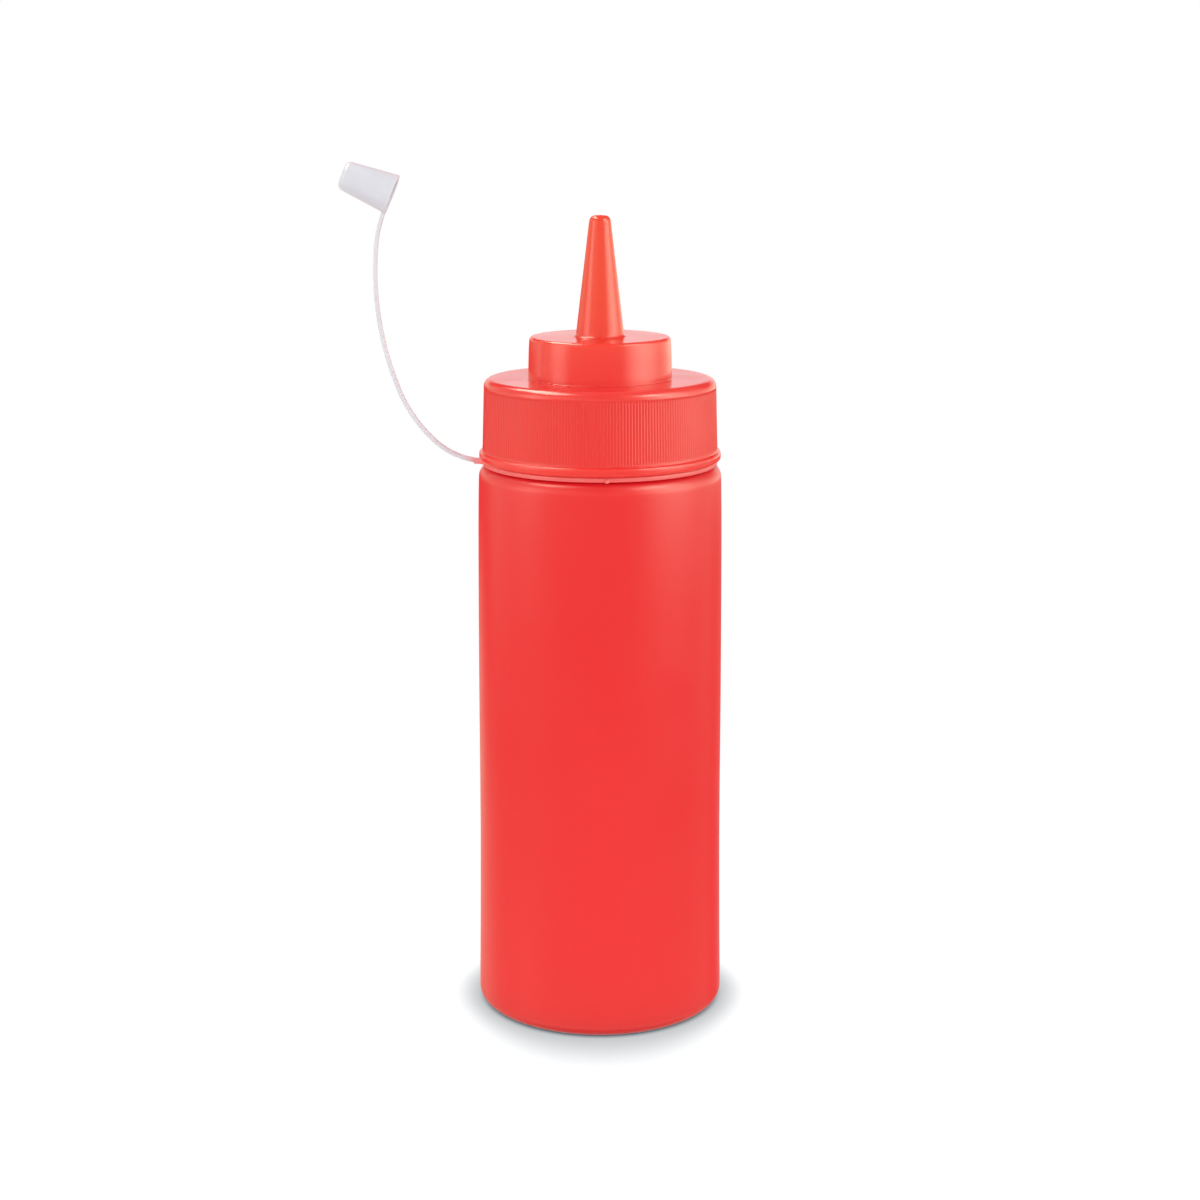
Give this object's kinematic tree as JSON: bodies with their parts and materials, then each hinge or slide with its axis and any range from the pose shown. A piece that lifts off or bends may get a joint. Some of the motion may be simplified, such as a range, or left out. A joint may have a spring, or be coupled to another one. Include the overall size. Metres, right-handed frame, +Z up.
{
  "type": "squeeze bottle",
  "caption": "Red squeeze bottle for sauce with a ribbed screw lid, a tapered nozzle and a white tip cap held on a moulded strap.",
  "frame": {"origin": "centre of the base, at the level of the ring that the bottle stands on", "axes": "+Z up along the bottle's axis to the nozzle's tip; the strap and tip cap lie towards -X in the plane of X and Z; -Y is the front"},
  "size_m": [0.1077, 0.071, 0.2422],
  "materials": {
    "bottle_plastic": "satin, slightly translucent",
    "lid_plastic": "satin, slightly translucent",
    "natural_plastic": "milky, translucent"
  },
  "bodies": {
    "root": {"bottle": "bottle_plastic", "lid": "lid_plastic", "tether": "natural_plastic"}
  },
  "joints": []
}
